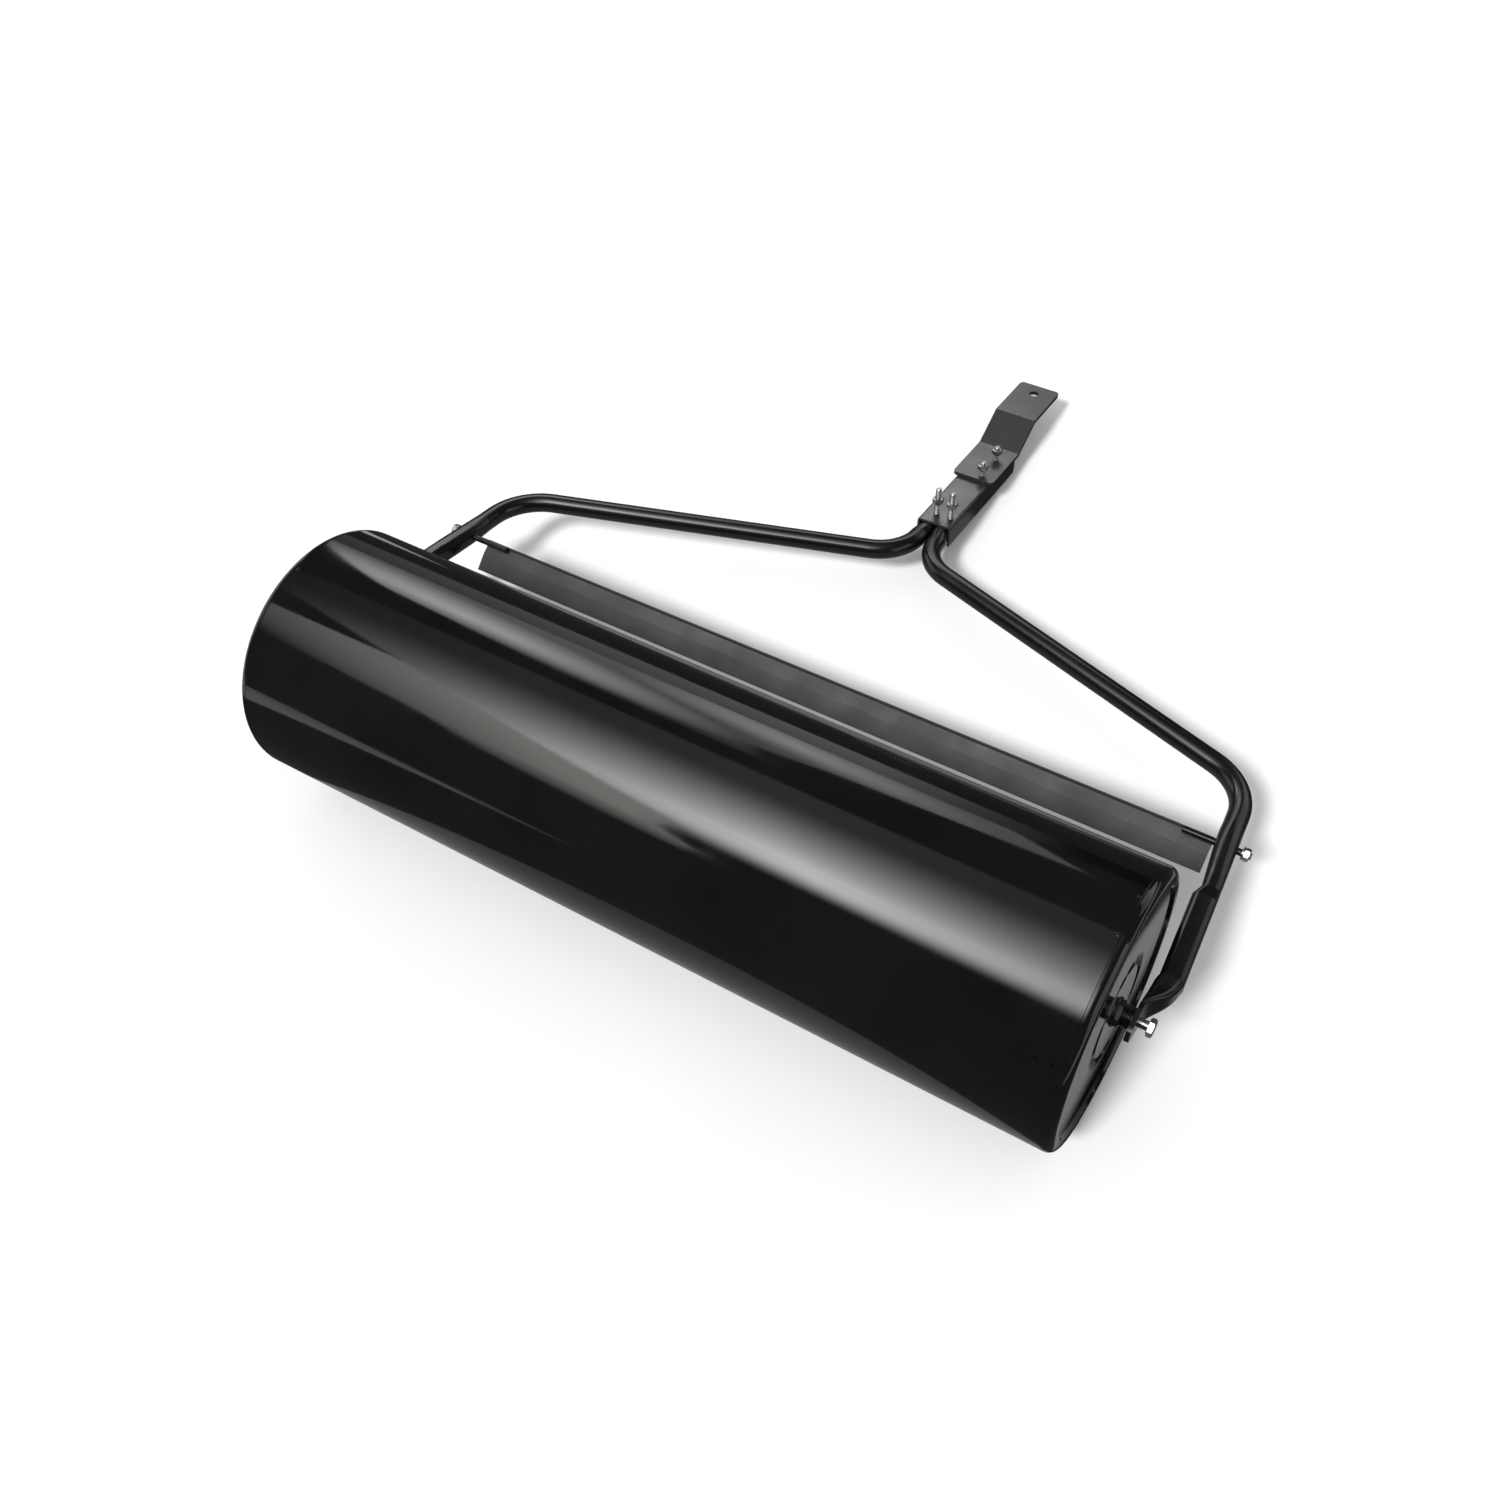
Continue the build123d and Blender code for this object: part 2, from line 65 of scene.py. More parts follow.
# ---- view -------------------------------------------------------------------------
AIM = AXLE + Vector((-0.031, 0.174, -0.115))
AZIMUTH, ELEVATION, ROLL = 37.4, 52.4, -7.46             # degrees
DISTANCE = 1.853
LENS, SENSOR = 37.0, 36.0                                # millimetres

# ---- fasteners and welds ----------------------------------------------------------
M8_PITCH, M10_PITCH = 0.00125, 0.0015
THREAD_DEPTH = 0.6                                       # share of the pitch
ROWS_PER_TURN = 6
TURNED = 0.94                                            # corners fall beyond this share
TURNED_SLOPE = math.tan(math.radians(30))
HUB_BEAD, STUD_BEAD = 0.0021, 0.0016                     # radii of the weld beads

# ---- materials and stage ----------------------------------------------------------
MIDDLE = (0.3, 0.7)                                      # most of a noise lies in here
BLACK = ((0.003, 0.003, 0.0034), (0.0052, 0.0051, 0.0056))
SATIN = ((0.010, 0.010, 0.011), (0.017, 0.017, 0.018))
WORN = ((0.019, 0.019, 0.020), (0.030, 0.029, 0.030))
WHITE = (1.0, 1.0, 1.0)
DUST = 2.2                                               # dust specks over the paint's tone
CEILING, BACK_WALL = 2.65, 1.6                           # height and y of the softboxes
GROUND_CARD = 0.001                                      # height of the ground's cards


# ---- mesh helpers -----------------------------------------------------------------
def as_object(name, built, sharp=35):
    """Object from a bmesh, smooth except over edges sharper than an angle in degrees."""
    mesh = bpy.data.meshes.new(name)
    bmesh.ops.recalc_face_normals(built, faces=built.faces)
    built.to_mesh(mesh)
    built.free()
    mesh.shade_smooth()
    mesh.set_sharp_from_angle(angle=math.radians(sharp))
    piece = bpy.data.objects.new(name, mesh)
    bpy.context.scene.collection.objects.link(piece)
    return piece


def skin(name, rows, closed=False, segments=48):
    """Skin through rows round the Z axis. A row gives (radius, height) at an angle. A closed
    skin joins its last row to its first, as a ring does; an open one gets flat ends."""
    built = bmesh.new()
    rings = []
    for row in rows:
        points = []
        for i in range(segments):
            angle = 2 * math.pi * i / segments
            radius, height = row(angle)
            points.append((radius * math.cos(angle), radius * math.sin(angle), height))
        rings.append([built.verts.new(p) for p in points])
    pairs = list(zip(rings, rings[1:]))
    if closed:
        pairs.append((rings[-1], rings[0]))
    for low, high in pairs:
        for i in range(segments):
            j = (i + 1) % segments
            built.faces.new((low[i], low[j], high[j], high[i]))
    if not closed:
        built.faces.new(list(reversed(rings[0])))
        built.faces.new(rings[-1])
    return as_object(name, built)


def circle(radius, height):
    """Row of constant radius and height."""
    return lambda angle: (radius, height)


def hexagon(flat, turned, height, slope):
    """Hexagon row whose corners fall away beyond the turned radius."""
    def row(angle):
        radius = flat / math.cos((angle + math.pi / 6) % (math.pi / 3) - math.pi / 6)
        return radius, height + slope * max(0.0, radius - turned)
    return row


def thread_rows(crest, pitch, start, end):
    """Rows of a helical thread, ending in a chamfer."""
    depth = THREAD_DEPTH * pitch
    step = pitch / ROWS_PER_TURN
    count = int((end - start) / step)
    steepness, root_flat = 1.3, 0.15
    chamfer_slope = 0.9

    def row(height):
        def at(angle):
            phase = (height / pitch - angle / (2 * math.pi)) % 1
            rise = 1 - abs(2 * phase - 1)
            ridge = min(1.0, max(0.0, steepness * rise - root_flat))
            radius = crest - depth * (1 - ridge)
            chamfer = crest - 1.5 * depth + chamfer_slope * (end - height)
            return min(radius, chamfer), height
        return at

    return [row(start + i * step) for i in range(count + 1)]


def head_rows(flat, thickness, shank):
    """Bolt head from its outer face at height 0 to its washer face."""
    turned = TURNED * flat
    seat = 0.06 * thickness
    return [circle(0.45 * flat, 0.07 * thickness), circle(0.62 * flat, 0.0),
            circle(turned, 0.0),
            hexagon(flat, turned, 0.0, TURNED_SLOPE),
            hexagon(flat, turned, thickness - 2 * seat, 0.0),
            circle(turned, thickness - seat), circle(turned, thickness),
            circle(shank, thickness)]


def nut_rows(flat, thickness, bore):
    """Nut from the countersunk mouth of its bore, round the outside and back to the bore."""
    turned = TURNED * flat
    lead = 0.12 * bore
    return [circle(bore, lead), circle(bore + lead, 0.0), circle(turned, 0.0),
            hexagon(flat, turned, 0.0, TURNED_SLOPE),
            hexagon(flat, turned, thickness, -TURNED_SLOPE),
            circle(turned, thickness), circle(bore + lead, thickness),
            circle(bore, thickness - lead)]


# ---- measuring the CAD nodes ------------------------------------------------------
def points_of(node):
    return [v.co.copy() for v in frame["nodes"][node].data.vertices]


def cap_face():
    """Flat face of the right cap, inside its raised rim."""
    return max(p.x for p in points_of("end_cap_right") if (p - AXLE).yz.length < 0.3 * DRUM_R)


def pair_of(node, direction):
    """The points of a node that holds two solids, parted across a direction."""
    points = points_of(node)
    reach = [p.dot(direction) for p in points]
    middle = (min(reach) + max(reach)) / 2
    return ([p for p, r in zip(points, reach) if r < middle],
            [p for p, r in zip(points, reach) if r >= middle])


def measure(points, axis):
    """Foot of the centre line, height along the axis, and each point's (height, radius)."""
    low = min(p.dot(axis) for p in points)
    high = max(p.dot(axis) for p in points)
    foot = axis * low
    first = axis.orthogonal().normalized()
    for side in (first, axis.cross(first)):
        reach = [p.dot(side) for p in points]
        foot += side * (min(reach) + max(reach)) / 2
    marks = []
    for p in points:
        height = (p - foot).dot(axis)
        marks.append((height, (p - foot - axis * height).length))
    return foot, high - low, marks


def stand(piece, foot, axis):
    """Put a piece that was built along Z on a foot and an axis."""
    turn = axis.to_track_quat("Z", "Y").to_matrix().to_4x4()
    piece.data.transform(Matrix.Translation(foot) @ turn)
    return piece


# ---- fasteners --------------------------------------------------------------------
def finish_piece(piece, body, material, nodes=()):
    """Give a piece its material and body, and hide the CAD nodes it stands in for."""
    piece.data.materials.append(material)
    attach(piece, body)
    if nodes:
        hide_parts(*nodes)
    return piece


def bolt(name, node, points, axis, pitch, thread_share, body, material):
    """A bolt in a CAD bolt's place, threaded over a share of its shank."""
    foot, height, marks = measure(points, axis)
    shank = max(r for h, r in marks if h > 0.6 * height)    # the head ends well below this
    wide = [(h, r) for h, r in marks if r > 1.2 * shank]
    thickness = max(h for h, r in wide)
    flat = max(r for h, r in wide) * math.cos(math.pi / 6)
    start = height - thread_share * (height - thickness)
    rows = head_rows(flat, thickness, shank)
    rows += [circle(shank, start - pitch)] + thread_rows(shank, pitch, start, height)
    piece = stand(skin(name, rows), foot, axis)
    return finish_piece(piece, body, material, [node])


def nut(name, node, points, axis, material):
    """A nut in a CAD nut's place."""
    foot, height, marks = measure(points, axis)
    flat = max(r for h, r in marks) * math.cos(math.pi / 6)
    bore = min(r for h, r in marks)
    piece = stand(skin(name, nut_rows(flat, height, bore), closed=True), foot, axis)
    return finish_piece(piece, "frame", material, [node])


def bar_stud(side, sign, paint, zinc):
    """Stud painted with the bar up to its arm, and a bright thread outside it."""
    node = f"bar_stud_{side}"
    axis = X * sign
    foot, height, marks = measure(points_of(node), axis)
    radius = max(r for h, r in marks)
    own_side = [p.dot(axis) for p in points_of("bar_washers") if p.dot(axis) > 0]
    reach = min(own_side) - foot.dot(axis)
    chamfer = 0.2 * radius
    plain = [circle(radius - chamfer, 0.0), circle(radius, chamfer),
             circle(radius, reach - chamfer), circle(radius - chamfer, reach)]
    body = stand(skin(f"stud_shank_{side}", plain), foot, axis)
    finish_piece(body, "frame", paint, [node])
    rows = [circle(radius - chamfer, reach)] + thread_rows(radius, M8_PITCH, reach, height)
    end = stand(skin(f"stud_thread_{side}", rows), foot, axis)
    finish_piece(end, "frame", zinc, [node])
    return foot, radius


# ---- welds and marks --------------------------------------------------------------
def bead(name, stations, radius, closed):
    """Rippled weld bead. A station is a centre and the two directions of its section."""
    built = bmesh.new()
    around = 10
    tip, growth = 0.35, 0.3                 # an open bead swells from its tips by this much
    rings = []
    for i, (centre, side, up) in enumerate(stations):
        ripple = 0.16 * math.sin(2.4 * i)
        wander = 0.05 * math.sin(0.7 * i)
        swell = radius * (1 + ripple + wander)
        if not closed:
            swell *= min(1.0, tip + growth * min(i, len(stations) - 1 - i))
        rings.append([built.verts.new(centre + swell * (math.cos(a) * side + math.sin(a) * up))
                      for a in (2 * math.pi * k / around for k in range(around))])
    pairs = list(zip(rings, rings[1:]))
    if closed:
        pairs.append((rings[-1], rings[0]))
    for low, high in pairs:
        for k in range(around):
            n = (k + 1) % around
            built.faces.new((low[k], low[n], high[n], high[k]))
    if not closed:
        built.faces.new(list(reversed(rings[0])))
        built.faces.new(rings[-1])
    return as_object(name, built, sharp=180)


def hub_weld(side, sign, material):
    """Fillet weld round the foot of a hub, on the cap's face."""
    low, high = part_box(f"hub_boss_{side}")
    radius = 0.985 * (high.z - low.z) / 2   # the bead is sunk a little into the hub
    face = X * sign * cap_face()
    steps = 72
    stations = []
    for i in range(steps):
        angle = 2 * math.pi * i / steps
        out = Vector((0, math.cos(angle), math.sin(angle)))
        centre = AXLE + out * radius + face
        stations.append((centre, out, X))
    piece = bead(f"hub_weld_{side}", stations, HUB_BEAD, closed=True)
    finish_piece(piece, "drum", material)


def stud_weld(side, sign, foot, radius, material):
    """Bead in the notch between a stud and the bar's lip."""
    bar_end = abs(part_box("cross_bar")[1 if sign > 0 else 0].x)
    start = abs(foot.x)
    steps = 26
    line = foot + (ALONG - SQUARE) * 0.8 * radius
    stations = []
    for i in range(steps):
        x = start + (bar_end - start) * (i + 0.5) / steps
        stations.append((Vector((sign * x, line.y, line.z)), ALONG, SQUARE))
    piece = bead(f"stud_weld_{side}", stations, STUD_BEAD, closed=False)
    finish_piece(piece, "frame", material)


def marks_round_shell(name, rows, places, material):
    """Small turned marks on the shell, one for each (x, angle from +Y in degrees)."""
    built = bmesh.new()
    for x, degrees in places:
        angle = math.radians(degrees)
        out = Vector((0, math.cos(angle), math.sin(angle)))
        one = stand(skin("mark", rows, segments=20), AXLE + X * x + out * DRUM_R, out)
        built.from_mesh(one.data)
        bpy.data.objects.remove(one)
    finish_piece(as_object(name, built), "drum", material)


# ---- materials --------------------------------------------------------------------
def new_material(name):
    """Material with its nodes, its links and its shader."""
    material = bpy.data.materials.new(name)
    material.use_nodes = True
    nodes, links = material.node_tree.nodes, material.node_tree.links
    return material, nodes, links, nodes["Principled BSDF"]


def noise(nodes, links, scale, detail, stretch=(1, 1, 1)):
    """Noise over the piece's own coordinates, in features per metre."""
    coords = nodes.new("ShaderNodeTexCoord")
    mapping = nodes.new("ShaderNodeMapping")
    mapping.inputs["Scale"].default_value = stretch
    texture = nodes.new("ShaderNodeTexNoise")
    texture.inputs["Scale"].default_value = scale
    texture.inputs["Detail"].default_value = detail
    links.new(coords.outputs["Object"], mapping.inputs["Vector"])
    links.new(mapping.outputs["Vector"], texture.inputs["Vector"])
    return texture.outputs["Fac"]


def spread(nodes, links, source, low, high, start=MIDDLE[0], end=MIDDLE[1]):
    """The source's middle range spread over low to high."""
    ramp = nodes.new("ShaderNodeMapRange")
    ramp.inputs["From Min"].default_value = start
    ramp.inputs["From Max"].default_value = end
    ramp.inputs["To Min"].default_value = low
    ramp.inputs["To Max"].default_value = high
    links.new(source, ramp.inputs["Value"])
    return ramp.outputs["Result"]


def two_tone(nodes, links, source, low, high):
    """The source's middle range as a blend of two colours."""
    ramp = nodes.new("ShaderNodeValToRGB")
    for element, position, colour in zip(ramp.color_ramp.elements, MIDDLE, (low, high)):
        element.position = position
        element.color = (*colour, 1)
    links.new(source, ramp.inputs["Fac"])
    return ramp.outputs["Color"]


def bump(nodes, links, height, distance, under=None):
    """Bump of a depth in metres, laid over other normals if they are given."""
    node = nodes.new("ShaderNodeBump")
    node.inputs["Distance"].default_value = distance
    links.new(height, node.inputs["Height"])
    if under:
        links.new(under, node.inputs["Normal"])
    return node.outputs["Normal"]


def soft_edges(nodes, radius):
    """Normals that round a sheet's cut edges."""
    bevel = nodes.new("ShaderNodeBevel")
    bevel.samples = 6
    bevel.inputs["Radius"].default_value = radius
    return bevel.outputs["Normal"]


def enamel(name, tones, roughness, grain, edge, specular):
    """Paint: patchy tone and gloss over a fine grain, given as (per metre, height)."""
    material, nodes, links, shader = new_material(name)
    patches = noise(nodes, links, 7, 5)
    specks = noise(nodes, links, 420, 3)
    rare = (0.66, 0.74)                     # only the noise's peaks are specks
    dusty = nodes.new("ShaderNodeMix")
    dusty.data_type = "RGBA"
    links.new(spread(nodes, links, specks, 0.0, 1.0, *rare), dusty.inputs["Factor"])
    links.new(two_tone(nodes, links, patches, *tones), dusty.inputs["A"])
    dusty.inputs["B"].default_value = (*(DUST * c for c in tones[1]), 1)
    links.new(dusty.outputs["Result"], shader.inputs["Base Color"])
    gloss = noise(nodes, links, 26, 6)
    links.new(spread(nodes, links, gloss, *roughness), shader.inputs["Roughness"])
    scale, height = grain
    surface = soft_edges(nodes, edge) if edge else None
    surface = bump(nodes, links, noise(nodes, links, scale, 3), height, surface)
    links.new(surface, shader.inputs["Normal"])
    shader.inputs["Specular IOR Level"].default_value = specular
    return material


def zinc():
    """Bright plating with a faint yellow cast in patches and fine scratches."""
    material, nodes, links, shader = new_material("zinc_plate")
    tone = two_tone(nodes, links, noise(nodes, links, 90, 4),
                    (0.52, 0.52, 0.52), (0.40, 0.385, 0.35))
    links.new(tone, shader.inputs["Base Color"])
    shader.inputs["Metallic"].default_value = 1.0
    gloss = noise(nodes, links, 260, 5)
    links.new(spread(nodes, links, gloss, 0.16, 0.34), shader.inputs["Roughness"])
    scratches = noise(nodes, links, 500, 4, stretch=(1, 1, 6))
    links.new(bump(nodes, links, scratches, 0.00006), shader.inputs["Normal"])
    return material


def matte(name, tones, grain, specular):
    """Dull plastic, rubber or dull black painted shade, with a grain given as (per metre,
    height).
    """
    material, nodes, links, shader = new_material(name)
    links.new(two_tone(nodes, links, noise(nodes, links, 60, 4), *tones),
              shader.inputs["Base Color"])
    links.new(spread(nodes, links, noise(nodes, links, 200, 4), 0.5, 0.75),
              shader.inputs["Roughness"])
    scale, height = grain
    links.new(bump(nodes, links, noise(nodes, links, scale, 3), height),
              shader.inputs["Normal"])
    shader.inputs["Specular IOR Level"].default_value = specular
    return material


# ---- stage ------------------------------------------------------------------------
def flat_shape(name, outline, material):
    """Flat stage piece through the corners of an outline."""
    built = bmesh.new()
    built.faces.new([built.verts.new(p) for p in outline])
    piece = as_object(name, built)
    piece.data.materials.append(material)
    return piece


def ellipse(centre, side, up, steps=96):
    """Corners of an ellipse with the half axes side and up."""
    turns = [2 * math.pi * i / steps for i in range(steps)]
    return [centre + side * math.cos(t) + up * math.sin(t) for t in turns]


def glow(name, colour, build_strength):
    """Emission whose strength comes from the nodes that build_strength makes."""
    material = bpy.data.materials.new(name)
    material.use_nodes = True
    nodes, links = material.node_tree.nodes, material.node_tree.links
    nodes.clear()
    emission = nodes.new("ShaderNodeEmission")
    emission.inputs["Color"].default_value = (*colour, 1)
    output = nodes.new("ShaderNodeOutputMaterial")
    links.new(emission.outputs["Emission"], output.inputs["Surface"])
    links.new(build_strength(nodes, links), emission.inputs["Strength"])
    return material


def maths(nodes, links, operation, first, second):
    """Math node whose inputs are sockets or numbers."""
    node = nodes.new("ShaderNodeMath")
    node.operation = operation
    for socket, value in zip(node.inputs, (first, second)):
        if isinstance(value, (int, float)):
            socket.default_value = value
        else:
            links.new(value, socket)
    return node.outputs[0]


def ramp_along(nodes, links, axis, start, end, smooth=False):
    """0 at start to 1 at end along one axis of the row frame."""
    coords = nodes.new("ShaderNodeTexCoord")
    parts = nodes.new("ShaderNodeSeparateXYZ")
    links.new(coords.outputs["Object"], parts.inputs["Vector"])
    ramp = spread(nodes, links, parts.outputs[axis], 0.0, 1.0, start, end)
    if smooth:
        ramp.node.interpolation_type = "SMOOTHSTEP"
    return ramp


def reflected_card(name, outline, material):
    """A card that shows in gloss and lights nothing."""
    piece = flat_shape(name, outline, material)
    piece.visible_camera = False
    piece.visible_diffuse = False
    piece.visible_shadow = False
    piece.visible_transmission = False


def product(nodes, links, first, *others):
    """Product of sockets or numbers, from left to right."""
    for other in others:
        first = maths(nodes, links, "MULTIPLY", first, other)
    return first


def ceiling_cards():
    """Overhead softbox, brightest behind the camera, with a dim warm one beside it."""
    def main_strength(nodes, links):
        brightest, faint, least, curve = 11.2, 0.35, 0.12, 1.7
        rise = maths(nodes, links, "POWER", ramp_along(nodes, links, "Y", 0.15, -1.7), curve)
        fall = ramp_along(nodes, links, "Y", -2.9, -1.95, smooth=True)
        left = ramp_along(nodes, links, "X", -2.55, -0.7)
        right = ramp_along(nodes, links, "X", 1.4, -0.7)
        across = product(nodes, links, left, right)
        peak = maths(nodes, links, "MULTIPLY", product(nodes, links, rise, fall),
                     product(nodes, links, across, brightest))
        even = maths(nodes, links, "ADD", product(nodes, links, across, faint), least)
        return maths(nodes, links, "ADD", peak, even)

    def side_strength(nodes, links):
        return product(nodes, links, ramp_along(nodes, links, "X", -3.1, -1.7), 3.5,
                       ramp_along(nodes, links, "Y", -4.4, -3.0))

    for name, colour, strength, corners in (
            ("softbox_above", (1.0, 0.98, 1.0), main_strength,
             [(-2.5, 0.7), (1.4, 0.7), (1.4, -2.9), (-1.35, -2.9), (-1.24, -2.45),
              (-2.0, -1.02), (-2.7, 0.1)]),
            ("softbox_side", (1.0, 0.965, 0.91), side_strength,
             [(-2.0, -1.02), (-1.24, -2.45), (-1.5, -3.1), (-1.5, -3.6), (-1.75, -4.2),
              (-2.2, -4.2), (-2.55, -3.7), (-2.55, -3.0), (-3.08, -2.6), (-3.1, -1.2)])):
        outline = [Vector((x, y, CEILING)) for x, y in corners]
        reflected_card(name, outline, glow(name, colour, strength))


def hot_spot(nodes, links, x, z, reach, strength):
    """Strength that falls evenly to nothing at a reach from a point of an upright card."""
    coords = nodes.new("ShaderNodeTexCoord")
    mapping = nodes.new("ShaderNodeMapping")
    mapping.inputs["Location"].default_value = (-x / reach, 0, -z / reach)
    mapping.inputs["Scale"].default_value = (1 / reach, 0, 1 / reach)
    gradient = nodes.new("ShaderNodeTexGradient")
    gradient.gradient_type = "SPHERICAL"
    links.new(coords.outputs["Object"], mapping.inputs["Vector"])
    links.new(mapping.outputs["Vector"], gradient.inputs["Vector"])
    return maths(nodes, links, "MULTIPLY", gradient.outputs["Fac"], strength)


def back_cards():
    """Softbox beyond the hitch with two hot spots, and a dim skirt under it."""
    def strength(nodes, links):
        large = hot_spot(nodes, links, x=-1.95, z=2.0, reach=0.95, strength=4.4)
        small = hot_spot(nodes, links, x=-0.65, z=1.25, reach=0.55, strength=2.2)
        spots = maths(nodes, links, "ADD", large, small)
        fade = product(nodes, links, ramp_along(nodes, links, "Z", 3.0, 1.9), 0.75)
        even = maths(nodes, links, "ADD", fade, 0.25)
        return maths(nodes, links, "ADD", spots, even)

    def skirt_strength(nodes, links):
        left = ramp_along(nodes, links, "X", -2.8, -0.5)
        right = ramp_along(nodes, links, "X", 0.1, -0.4)
        return product(nodes, links, left, right, 0.75)

    for name, card_strength, corners in (
            ("softbox_back", strength,
             [(-2.15, 0.95), (-0.05, 0.85), (0.1, 1.3), (-0.6, 1.75), (-1.0, 2.2),
              (-1.2, 3.0), (-2.1, 3.1), (-2.5, 2.4)]),
            ("softbox_skirt", skirt_strength,
             [(-2.3, 0.35), (0.6, 0.35), (0.6, 0.86), (-0.05, 0.83), (-2.15, 0.93)])):
        outline = [Vector((x, BACK_WALL, z)) for x, z in corners]
        reflected_card(name, outline, glow(name, WHITE, card_strength))


def ground_card():
    """The lit ground that the gloss of the drum and caps picks up. It is dark just beyond
    the right cap's face, where the cap's foot shades the ground."""
    face = cap_face()

    def strength(nodes, links):
        lit = spread(nodes, links, noise(nodes, links, 2, 2), 0.26, 0.31)
        under = ramp_along(nodes, links, "X", face, face - 0.003)
        beyond = ramp_along(nodes, links, "X", face + 0.008, face + 0.015)
        return product(nodes, links, lit, maths(nodes, links, "ADD", under, beyond))

    centre = Vector((AXLE.x, AXLE.y + 0.185, GROUND_CARD))
    outline = ellipse(centre, X * 0.64, Vector((0, 0.5, 0)))
    reflected_card("ground_card", outline, glow("ground_card", WHITE, strength))


def rectangle(low, high):
    """Corners of a level or upright rectangle from its lowest corner to its highest."""
    first, second = (axis for axis in range(3) if low[axis] != high[axis])
    ends = (low, high)
    corners = []
    for i, j in ((0, 0), (1, 0), (1, 1), (0, 1)):
        corner = Vector(low)
        corner[first] = ends[i][first]
        corner[second] = ends[j][second]
        corners.append(corner)
    return corners


def room_cards():
    """Dim cards round the other sides, for the gloss that is seen from there."""
    def strength(nodes, links):
        return spread(nodes, links, noise(nodes, links, 0.6, 1), 0.5, 1.3)

    material = glow("softbox_room", WHITE, strength)
    for name, low, high in (
            ("softbox_right", (3.2, -1.6, 0.25), (3.2, 0.9, 2.0)),
            ("softbox_left", (-3.2, -1.4, 0.25), (-3.2, 1.2, 2.0)),
            ("softbox_far", (0.4, 3.0, 0.4), (3.4, 3.0, 2.6)),
            ("ground_right", (1.2, -2.0, GROUND_CARD), (4.0, 2.0, GROUND_CARD)),
            ("ground_left", (-4.0, -2.5, GROUND_CARD), (-1.0, 0.6, GROUND_CARD))):
        reflected_card(name, rectangle(low, high), material)


def floor():
    """Wide pale ground that doesn't show in the gloss."""
    material, nodes, links, shader = new_material("floor")
    tone = two_tone(nodes, links, noise(nodes, links, 3, 4), (0.80, 0.80, 0.80),
                    (0.82, 0.82, 0.82))
    links.new(tone, shader.inputs["Base Color"])
    shader.inputs["Roughness"].default_value = 0.9
    shader.inputs["Specular IOR Level"].default_value = 0.0
    outline = ellipse(Vector((0, 0, -0.0004)), X * 30, Vector((0, 30, 0)))
    piece = flat_shape("floor", outline, material)
    piece.visible_glossy = False


def world():
    """Even pale light, a pale backdrop, and a dim room for the gloss to reflect."""
    sky = bpy.data.worlds.new("studio")
    bpy.context.scene.world = sky
    sky.use_nodes = True
    nodes, links = sky.node_tree.nodes, sky.node_tree.links
    nodes.clear()
    path = nodes.new("ShaderNodeLightPath")

    def background(strength):
        light = nodes.new("ShaderNodeBackground")
        light.inputs["Color"].default_value = (*WHITE, 1)
        light.inputs["Strength"].default_value = strength
        return light.outputs["Background"]

    even, room, backdrop = background(0.68), background(0.045), background(1.0)
    gloss = nodes.new("ShaderNodeMixShader")
    seen = nodes.new("ShaderNodeMixShader")
    output = nodes.new("ShaderNodeOutputWorld")
    links.new(path.outputs["Is Glossy Ray"], gloss.inputs["Fac"])
    links.new(even, gloss.inputs[1])
    links.new(room, gloss.inputs[2])
    links.new(path.outputs["Is Camera Ray"], seen.inputs["Fac"])
    links.new(gloss.outputs["Shader"], seen.inputs[1])
    links.new(backdrop, seen.inputs[2])
    links.new(seen.outputs["Shader"], output.inputs["Surface"])


def key_light():
    """Soft sun from behind the drum, whose shadows fall forward of it."""
    lamp = bpy.data.lights.new("key", "SUN")
    lamp.energy = 3.0
    lamp.angle = math.radians(11)
    key = bpy.data.objects.new("key", lamp)
    key.rotation_mode = "QUATERNION"
    key.rotation_quaternion = Vector((0.10, 0.85, -1.0)).to_track_quat("-Z", "Y")
    key.visible_glossy = False
    bpy.context.scene.collection.objects.link(key)


def plate_light():
    """Low softbox beyond the hitch, whose sheen only the drawbar's flat steel takes."""
    lamp = bpy.data.lights.new("plate_light", "AREA")
    lamp.shape = "RECTANGLE"
    lamp.size, lamp.size_y = 1.1, 0.55
    lamp.energy = 15
    light = bpy.data.objects.new("plate_light", lamp)
    hitch = (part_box("hitch_plate")[0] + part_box("hitch_plate")[1]) / 2
    offset = Vector((-0.30, 1.25, 0.62))
    light.location = hitch + offset
    light.rotation_mode = "QUATERNION"
    light.rotation_quaternion = (-offset).to_track_quat("-Z", "Y")
    receivers = bpy.data.collections.new("plate_light_receivers")
    for node in ("hitch_plate", "drawbar_channel"):
        receivers.objects.link(frame["nodes"][node])
    light.light_linking.receiver_collection = receivers
    bpy.context.scene.collection.objects.link(light)


def camera():
    """Camera on a sphere round the aim point, rolled about its line of sight."""
    turn, tilt, roll = (math.radians(a) for a in (AZIMUTH, ELEVATION, ROLL))
    back = Vector((math.sin(turn) * math.cos(tilt), -math.cos(turn) * math.cos(tilt),
                   math.sin(tilt)))
    level = Vector((math.cos(turn), math.sin(turn), 0))
    upright = back.cross(level)
    right = level * math.cos(roll) + upright * math.sin(roll)
    up = back.cross(right)
    lens = bpy.data.cameras.new("camera")
    lens.lens, lens.sensor_width = LENS, SENSOR
    eye = bpy.data.objects.new("camera", lens)
    facing = Matrix((right, up, back)).transposed().to_4x4()
    eye.matrix_world = Matrix.Translation(AIM + back * DISTANCE) @ facing
    bpy.context.scene.collection.objects.link(eye)
    bpy.context.scene.camera = eye


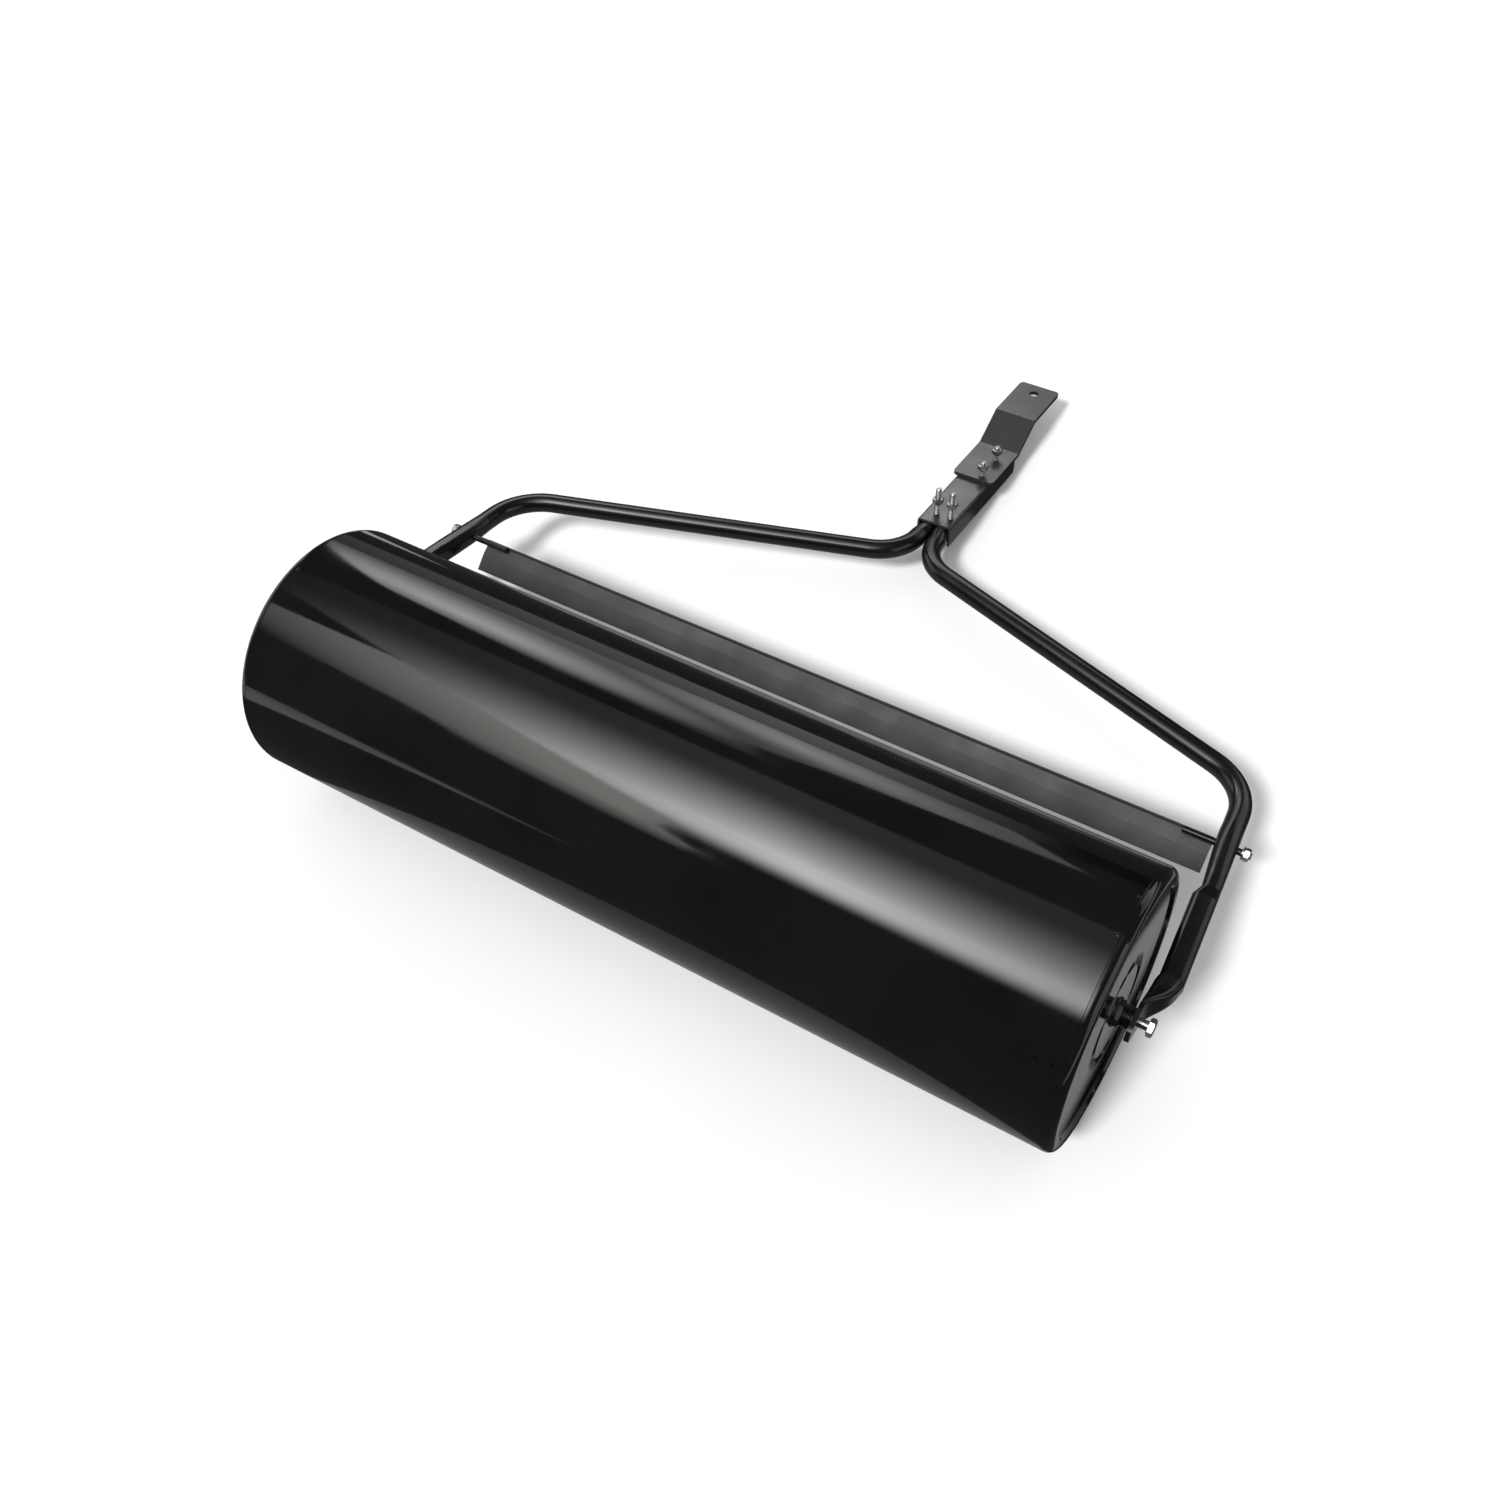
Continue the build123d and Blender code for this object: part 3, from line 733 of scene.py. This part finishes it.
# ---- put together -----------------------------------------------------------------
def paint_nodes(materials):
    """Give each CAD node the material of its slot."""
    dress = {
        "drum_enamel": ("drum_shell", "end_cap_left", "end_cap_right"),
        "tube_enamel": ("arm_tube_left", "arm_tube_right"),
        "plate_enamel": ("drawbar_channel", "hitch_plate"),
        "bar_enamel": ("cross_bar",),
        "hub_black": ("hub_boss_left", "hub_boss_right", "spacer_washers_left",
                      "spacer_washers_right", "filler_bush"),
        "zinc_plate": ("drawbar_washers", "hitch_washers", "bar_washers"),
        "plug_plastic": ("filler_plug",),
        "gasket_rubber": ("plug_gasket",),
    }
    for key, names in dress.items():
        for name in names:
            frame["nodes"][name].data.materials[0] = materials[key]


def make_materials():
    """Every material by its name. A grain is (per metre, height) and an edge a radius."""
    materials = {}
    for name, tones, roughness, grain, edge, specular in (
            ("drum_enamel", BLACK, (0.045, 0.10), (700, 0.000012), 0, 0.5),
            ("tube_enamel", BLACK, (0.14, 0.22), (900, 0.00003), 0, 0.5),
            ("plate_enamel", SATIN, (0.32, 0.42), (1500, 0.00010), 0.0006, 0.6),
            ("bar_enamel", WORN, (0.42, 0.60), (1100, 0.00016), 0.0005, 0.5),
            ("hub_black", BLACK, (0.20, 0.32), (1300, 0.00006), 0.0003, 0.5)):
        materials[name] = enamel(name, tones, roughness, grain, edge, specular)
    materials["zinc_plate"] = zinc()
    for name, low, high, grain, specular in (
            ("plug_plastic", 0.018, 0.028, (1800, 0.00008), 0.5),
            ("gasket_rubber", 0.022, 0.034, (900, 0.0001), 0.5),
            # near-black and almost without gloss: painted shade for the shell's two pits
            ("pit_painted_shade", 0.001, 0.003, (900, 0.0001), 0.05)):
        materials[name] = matte(name, ((low,) * 3, (high,) * 3), grain, specular)
    return materials


def drawbar_fasteners(zinc_plate):
    """Bolts and nuts of the drawbar and hitch, and the nuts of the cross bar."""
    for node, direction, share in (("drawbar_bolts", X, 0.72), ("hitch_bolts", ALONG, 0.85)):
        for i, points in enumerate(pair_of(node, direction)):
            bolt(f"{node}_{i + 1}", node, points, SQUARE, M8_PITCH, share, "frame", zinc_plate)
    for node, direction, axis in (("drawbar_nuts", X, SQUARE), ("hitch_nuts", ALONG, SQUARE),
                                  ("bar_nuts", X, X)):
        for i, points in enumerate(pair_of(node, direction)):
            nut(f"{node}_{i + 1}", node, points, axis, zinc_plate)


def side_pieces(side, sign, materials):
    """Axle bolt, cross bar stud and weld beads of one side."""
    zinc_plate, enamel_black = materials["zinc_plate"], materials["tube_enamel"]
    node = f"axle_bolt_{side}"
    bolt(f"axle_screw_{side}", node, points_of(node), X * -sign, M10_PITCH, 0.6, "drum",
         zinc_plate)
    foot, radius = bar_stud(side, sign, enamel_black, zinc_plate)
    stud_weld(side, sign, foot, radius, enamel_black)
    hub_weld(side, sign, materials["hub_black"])


def shell_marks(materials):
    """Spot welds near both ends of the shell, and two small pits near its right end, coloured
    dull black without gloss as painted shade.
    """
    sunk = -0.0002
    spot = [circle(0.0021, sunk), circle(0.0018, 0.00006), circle(0.0012, 0.00016),
            circle(0.0004, 0.0002)]
    places = [(sign * (SHELL_END - 0.0028), angle) for sign in (-1, 1)
              for angle in (75, 93.5, 255, 273.5)]
    marks_round_shell("spot_welds", spot, places, materials["drum_enamel"])
    # the pits take a dull black that kills their gloss: painted shade, not the shell's colour
    pit = [circle(0.0021, sunk), circle(0.0020, 0.00015), circle(0.0015, 0.00018),
           circle(0.0012, 0.00005), circle(0.0004, 0.00003)]
    places = [(SHELL_END - 0.025, 145), (SHELL_END - 0.0095, 144.5)]
    marks_round_shell("shell_pits", pit, places, materials["pit_painted_shade"])


def stage():
    """Ground, cards, lights and camera."""
    floor()
    ceiling_cards()
    back_cards()
    ground_card()
    room_cards()
    world()
    key_light()
    plate_light()
    camera()
    bpy.context.scene.view_settings.view_transform = "Standard"


def main():
    materials = make_materials()
    paint_nodes(materials)
    drawbar_fasteners(materials["zinc_plate"])
    for side, sign in (("left", -1), ("right", 1)):
        side_pieces(side, sign, materials)
    shell_marks(materials)
    stage()


main()
